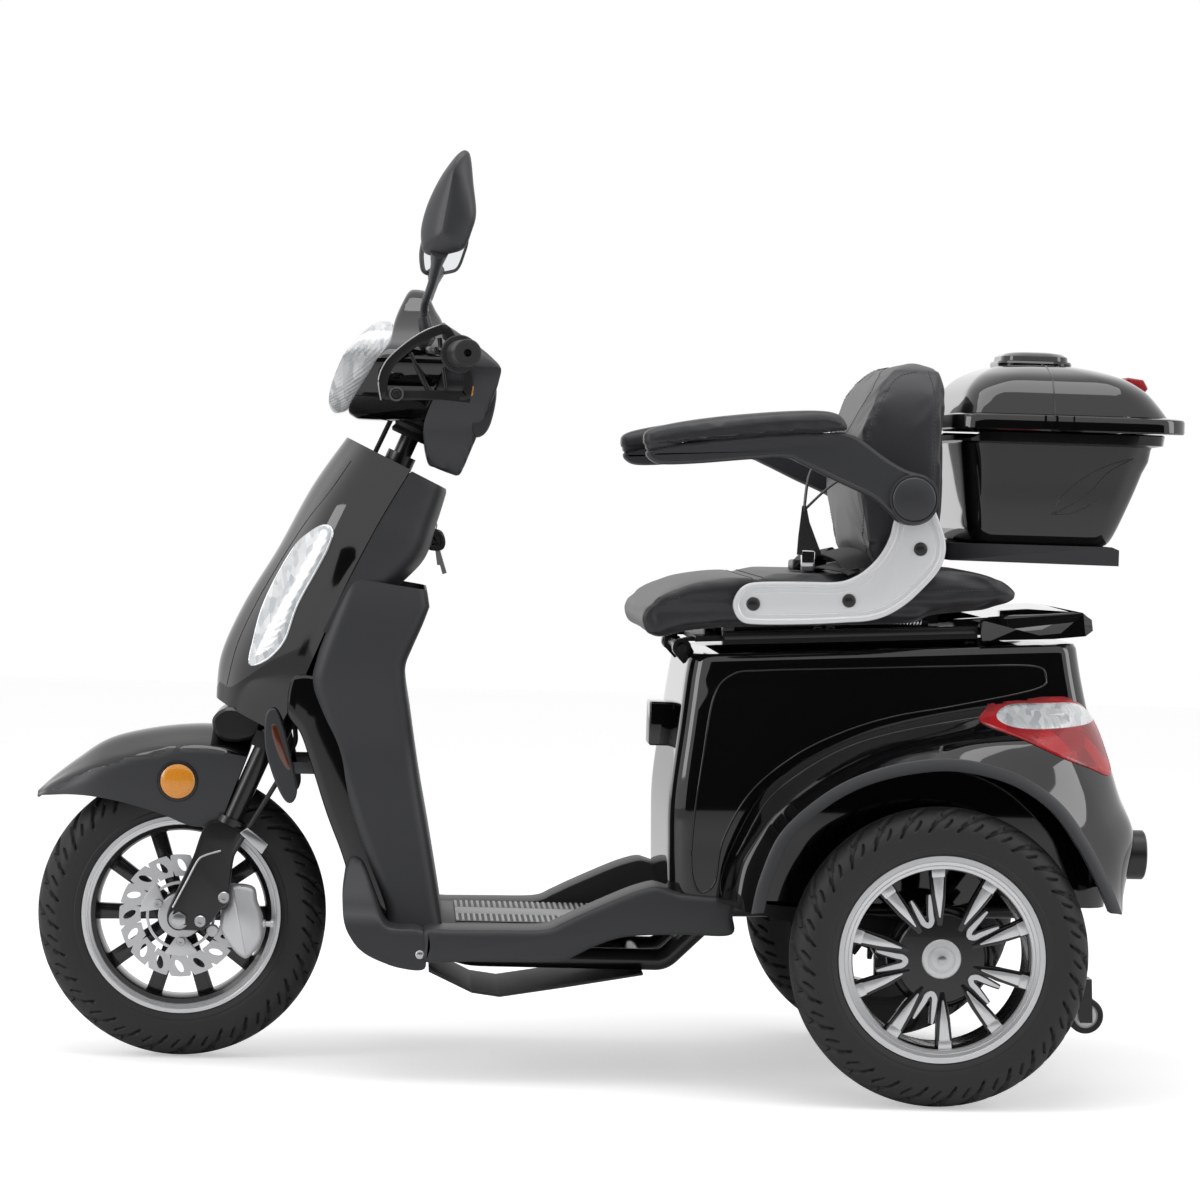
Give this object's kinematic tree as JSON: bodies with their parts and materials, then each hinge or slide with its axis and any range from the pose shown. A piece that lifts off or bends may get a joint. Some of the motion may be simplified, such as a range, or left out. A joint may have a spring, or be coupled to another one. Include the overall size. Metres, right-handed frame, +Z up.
{
  "type": "three-wheel mobility scooter",
  "caption": "Electric three-wheel scooter with raked steering, open footboard, padded seat with lifting armrests, rear body and lidded top box.",
  "frame": {"origin": "middle of the bounding box at ground level", "axes": "+X forward, +Y to the rider's left, +Z up"},
  "size_m": [1.583, 0.6968, 1.2649],
  "materials": {
    "frame_black": "satin black paint",
    "gloss_black": "gloss black moulded plastic",
    "matte_black": "grained matte black moulded plastic",
    "tyre_rubber": "black tyre rubber",
    "rubber_black": "black rubber",
    "wheel_black": "gloss black cast wheel",
    "wheel_silver": "machined and black painted aluminium",
    "steel": "bright steel",
    "silver": "satin silver pressing",
    "clear_lens": "clear lens",
    "red_lens": "red and clear lens",
    "seat_leather": "black artificial leather",
    "arm_foam": "black padded armrest",
    "mirror_shell": "matte black mirror shell",
    "battery_case": "battery block"
  },
  "bodies": {
    "chassis": {"chassis_frame": "frame_black", "front_spine": "frame_black", "rear_axle": "frame_black", "rear_dampers": "steel", "battery_pack": "battery_case", "front_shield": "gloss_black", "shield_lamps": "clear_lens", "leg_shield": "matte_black", "footboard": "matte_black", "belly_pan": "matte_black", "rear_body": "gloss_black", "rear_fender_left": "gloss_black", "rear_fender_right": "gloss_black", "tail_lamp_left": "red_lens", "tail_lamp_right": "red_lens"},
    "steering": {"front_fork": "frame_black", "front_fender": "gloss_black", "brake_caliper": "silver", "brake_hose": "rubber_black", "handlebar": "frame_black", "grip_left": "rubber_black", "grip_right": "rubber_black", "head_cowl": "gloss_black", "rear_cowl": "matte_black", "headlamp": "clear_lens", "mirror_left": "mirror_shell", "mirror_right": "mirror_shell"},
    "front_wheel": {"front_tyre": "tyre_rubber", "front_rim": "wheel_black", "brake_disc": "steel"},
    "rear_wheel_left": {"rear_tyre_left": "tyre_rubber", "rear_rim_left": "wheel_silver"},
    "rear_wheel_right": {"rear_tyre_right": "tyre_rubber", "rear_rim_right": "wheel_silver"},
    "seat_base": {"seat_deck": "frame_black", "deck_tail": "gloss_black"},
    "seat": {"seat_slider": "frame_black", "seat_cushion": "seat_leather", "backrest": "seat_leather", "side_bracket_left": "silver", "side_bracket_right": "silver", "box_carrier": "matte_black", "top_box": "gloss_black"},
    "armrest_left_body": {"armrest_left": "matte_black", "armrest_pad_left": "arm_foam"},
    "armrest_right_body": {"armrest_right": "matte_black", "armrest_pad_right": "arm_foam"},
    "box_lid_body": {"box_lid": "gloss_black"},
    "anti_tip_left": {"anti_tip_wheel_left": "rubber_black"},
    "anti_tip_right": {"anti_tip_wheel_right": "rubber_black"}
  },
  "joints": [
    {"name": "steering_turn", "type": "hinge", "parent": "chassis", "child": "steering", "pos_m": [0.37817, 0, 0.65917], "axis": [-0.3907, 0, 0.9205], "range_deg": [-35, 35]},
    {"name": "front_wheel_spin", "type": "hinge", "parent": "steering", "child": "front_wheel", "pos_m": [0.5855, 0, 0.204], "axis": [0, 1, 0], "continuous": true},
    {"name": "rear_wheel_left_spin", "type": "hinge", "parent": "chassis", "child": "rear_wheel_left", "pos_m": [-0.4495, 0.31, 0.204], "axis": [0, 1, 0], "continuous": true},
    {"name": "rear_wheel_right_spin", "type": "hinge", "parent": "chassis", "child": "rear_wheel_right", "pos_m": [-0.4495, -0.31, 0.204], "axis": [0, 1, 0], "continuous": true},
    {"name": "seat_tilt", "type": "hinge", "parent": "chassis", "child": "seat_base", "pos_m": [-0.1045, 0, 0.603], "axis": [0, 1, 0], "range_deg": [0, 28]},
    {"name": "seat_slide", "type": "slide", "parent": "seat_base", "child": "seat", "axis": [0.9987, 0, -0.0509], "range_m": [-0.04, 0.04]},
    {"name": "armrest_left_lift", "type": "hinge", "parent": "seat", "child": "armrest_left_body", "pos_m": [-0.4015, 0.25, 0.82], "axis": [0, 1, 0], "range_deg": [-90, 0]},
    {"name": "armrest_right_lift", "type": "hinge", "parent": "seat", "child": "armrest_right_body", "pos_m": [-0.4015, -0.25, 0.82], "axis": [0, 1, 0], "range_deg": [-90, 0]},
    {"name": "lid_lift", "type": "hinge", "parent": "seat", "child": "box_lid_body", "pos_m": [-0.4845, 0, 0.93], "axis": [0, 1, 0], "range_deg": [0, 35]},
    {"name": "anti_tip_left_spin", "type": "hinge", "parent": "chassis", "child": "anti_tip_left", "pos_m": [-0.6815, 0.15, 0.106], "axis": [0, 1, 0], "continuous": true},
    {"name": "anti_tip_right_spin", "type": "hinge", "parent": "chassis", "child": "anti_tip_right", "pos_m": [-0.6815, -0.15, 0.106], "axis": [0, 1, 0], "continuous": true}
  ]
}
